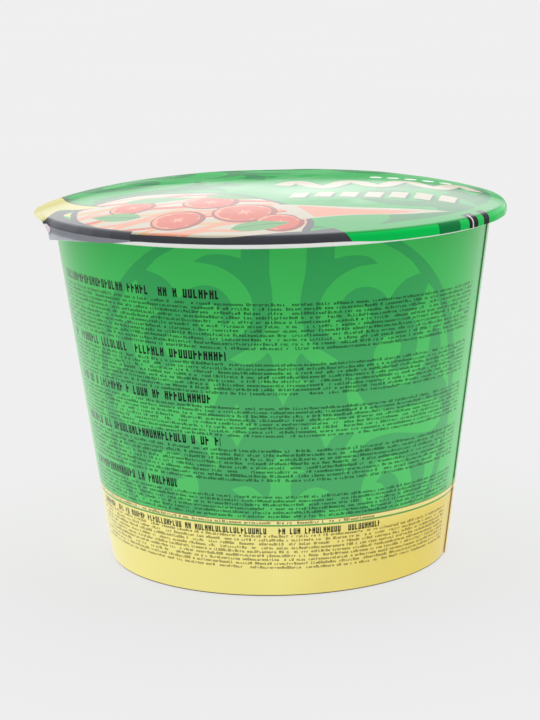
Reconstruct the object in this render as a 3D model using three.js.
// Instant noodle cup: a round tapered paper tub with a rolled rim, shut by a glossy film lid.
// Millimetres, +Z up. The origin is in the middle of the foot, on the surface the cup stands on.
// Angles run round +Z from +X, so the front of the cup is at 270 degrees.

import * as THREE from 'three';

const { clamp, degToRad, euclideanModulo, lerp, smoothstep } = THREE.MathUtils;

// Tub: wall, foot and base
const FOOT_RADIUS = 53.7;
const WALL_TAPER = 0.1302; // radius gained for each millimetre of height
const FOOT_EDGE = 0.5; // bevel of the folded paper edge at the foot
const FOOT_WIDTH = 2.2; // the flat ring that the cup stands on
const BASE_RECESS = 6.5; // how far the base disc sits above the foot

// Tub: the side seam, where one end of the paper laps over the other
const SEAM_ANGLE = 344;
const SEAM_EDGE = 0.25; // degrees taken by the cut edge of the outer layer
const SEAM_LAP = 9; // degrees over which the lap flattens out again
const SEAM_STEP = 0.35; // thickness of the paper

// Tub: rolled rim
const RIM_RADIUS = 70.3; // from the cup's axis to the middle of the roll
const RIM_HEIGHT = 109.05;
const ROLL_RADIUS = 1.7;
const ROLL_START = 235; // the roll leaves the wall here, counted from its top, outwards

// Lid: film, drawn over the rolled rim and domed by the air inside
const LID_FILM = 0.3;
const LID_GAP = 0.2; // clearance between the film and the tub below it
const DOME_EDGE = 16.5; // slope where the dome meets the roll, in degrees
const DOME_POWER = 3.5; // a flat middle that falls off steeply near the rim

// Lid: the edge of the film beyond the rim. Wrap is how far it turns round the roll.
const SIDE_WRAP = 90;
const SIDE_HEM = 1.45; // length of film that hangs below the middle of the roll
const FRONT_HEM = 0.45;
const FRONT_SPAN = [228, 240, 284, 298]; // where the short hem starts, is whole, stops and ends
const LIP_WRAP = 18; // an unfolded stretch that stands out nearly flat
const LIP_HEM = 1.6;
const LIP_SPAN = [148, 166, 198, 206];
const TAB_WRAP = 80; // the pull tab hangs down and leans a little outwards
const TAB_HEM = 4.2;
const TAB_SPAN = [198, 206, 236]; // fold, longest corner, end of its slanting edge
const TAB_SLANT = 1.3; // above 1 the lower edge of the tab is hollow

// Facets
const TURN_SEGMENTS = 120;
const ROLL_SEGMENTS = 8;
const HEM_SEGMENTS = 4;
const DOME_RINGS = [0, 0.4, 0.62, 0.78, 0.89, 0.96]; // shares of the dome's radius

const paper = new THREE.MeshStandardMaterial({ color: 0x3dad53, roughness: 0.38, metalness: 0 });
const film = new THREE.MeshStandardMaterial({ color: 0x58c983, roughness: 0.16, metalness: 0 });

/** 1 inside the span, 0 outside, with soft ends. Degrees. */
function windowed(angle, [start, whole, stop, end]) {
  return smoothstep(angle, start, whole) * (1 - smoothstep(angle, stop, end));
}

/** A point on a face that follows the rim's roll at a distance from the roll's middle. */
function onRoll(reach, turn) {
  return new THREE.Vector2(RIM_RADIUS + reach * Math.sin(turn), RIM_HEIGHT + reach * Math.cos(turn));
}

/** The dome of such a face, from the axis out to just before it meets the roll. */
function domePoints(reach) {
  const edge = onRoll(reach, degToRad(DOME_EDGE));
  const height = (edge.x * Math.tan(degToRad(DOME_EDGE))) / DOME_POWER;
  return DOME_RINGS.map((share) => {
    return new THREE.Vector2(share * edge.x, edge.y + height * (1 - share ** DOME_POWER));
  });
}

/** A turned solid whose profile, from the axis out and back to the axis, may change with the angle. */
function turned(profileAt, angles) {
  const profiles = angles.map(profileAt);
  const geometry = new THREE.LatheGeometry(profiles[0], angles.length);
  const position = geometry.getAttribute('position');
  const count = profiles[0].length;
  for (let i = 0; i <= angles.length; i++) {
    const side = i % angles.length;
    const turn = degToRad(angles[side]);
    profiles[side].forEach((point, j) => {
      position.setXYZ(i * count + j, point.x * Math.cos(turn), point.x * Math.sin(turn), point.y);
    });
  }
  geometry.computeVertexNormals();
  return geometry;
}

function evenAngles() {
  return Array.from({ length: TURN_SEGMENTS }, (_, i) => (i * 360) / TURN_SEGMENTS);
}

/** How much the lapped paper thickens the wall at an angle. */
function seamLift(angle) {
  const past = euclideanModulo(angle - SEAM_ANGLE, 360);
  return past > 0 && past < SEAM_LAP ? SEAM_STEP * (1 - smoothstep(past, SEAM_EDGE, SEAM_LAP)) : 0;
}

function wallRadius(height, angle) {
  return FOOT_RADIUS + WALL_TAPER * height + seamLift(angle);
}

/** The wall and rim from the foot to the top of the roll, then the top that lies under the lid. */
function tubProfile(angle) {
  const footInside = FOOT_RADIUS - FOOT_EDGE - FOOT_WIDTH;
  const points = [
    new THREE.Vector2(0, BASE_RECESS),
    new THREE.Vector2(footInside + WALL_TAPER * BASE_RECESS, BASE_RECESS),
    new THREE.Vector2(footInside, 0),
    new THREE.Vector2(FOOT_RADIUS - FOOT_EDGE, 0),
    new THREE.Vector2(wallRadius(FOOT_EDGE, angle), FOOT_EDGE),
  ];
  const rollFoot = onRoll(ROLL_RADIUS, degToRad(ROLL_START)).y;
  points.push(new THREE.Vector2(wallRadius(rollFoot, angle), rollFoot));
  for (let i = 0; i <= ROLL_SEGMENTS; i++) {
    points.push(onRoll(ROLL_RADIUS, degToRad(lerp(ROLL_START, DOME_EDGE, i / ROLL_SEGMENTS))));
  }
  points.push(...domePoints(ROLL_RADIUS).reverse());
  return points;
}

function tubAngles() {
  const even = evenAngles().filter((angle) => Math.abs(angle - SEAM_ANGLE) > 1);
  return [...even, SEAM_ANGLE, SEAM_ANGLE + SEAM_EDGE].sort((a, b) => a - b);
}

/** How far the film turns round the rim's roll at an angle, in degrees. */
function hemWrap(angle) {
  const tab = windowed(angle, [TAB_SPAN[0], TAB_SPAN[1], TAB_SPAN[1], TAB_SPAN[2]]);
  const folded = lerp(SIDE_WRAP, TAB_WRAP, tab);
  return lerp(folded, LIP_WRAP, windowed(angle, LIP_SPAN));
}

/** Length of film that runs on, straight, from the end of its turn round the roll. */
function hemLength(angle) {
  const plain = lerp(SIDE_HEM, FRONT_HEM, windowed(angle, FRONT_SPAN));
  const lip = lerp(plain, LIP_HEM, windowed(angle, LIP_SPAN));
  const [fold, corner, end] = TAB_SPAN;
  const slant = 1 - clamp((angle - corner) / (end - corner), 0, 1) ** (1 / TAB_SLANT);
  return lip + (TAB_HEM - plain) * smoothstep(angle, fold, corner) * slant;
}

/** One face of the film, from the axis out to its edge: reach is its radius round the rim's roll. */
function filmFace(angle, reach) {
  const points = domePoints(reach);
  const wrap = degToRad(hemWrap(angle));
  for (let i = 0; i <= HEM_SEGMENTS; i++) {
    points.push(onRoll(reach, lerp(degToRad(DOME_EDGE), wrap, i / HEM_SEGMENTS)));
  }
  const last = points.at(-1);
  const length = hemLength(angle);
  points.push(new THREE.Vector2(last.x + length * Math.cos(wrap), last.y - length * Math.sin(wrap)));
  return points;
}

/** The underside of the film out to its edge, then its outer face back to the axis. */
function lidProfile(angle) {
  const inside = ROLL_RADIUS + LID_GAP;
  return [...filmFace(angle, inside), ...filmFace(angle, inside + LID_FILM).reverse()];
}

function named(name, geometry, material) {
  const mesh = new THREE.Mesh(geometry, material);
  mesh.name = name;
  return mesh;
}

const cup = new THREE.Group();
cup.add(named('tub', turned(tubProfile, tubAngles()), paper));
cup.add(named('lid', turned(lidProfile, evenAngles()), film));

export default cup;
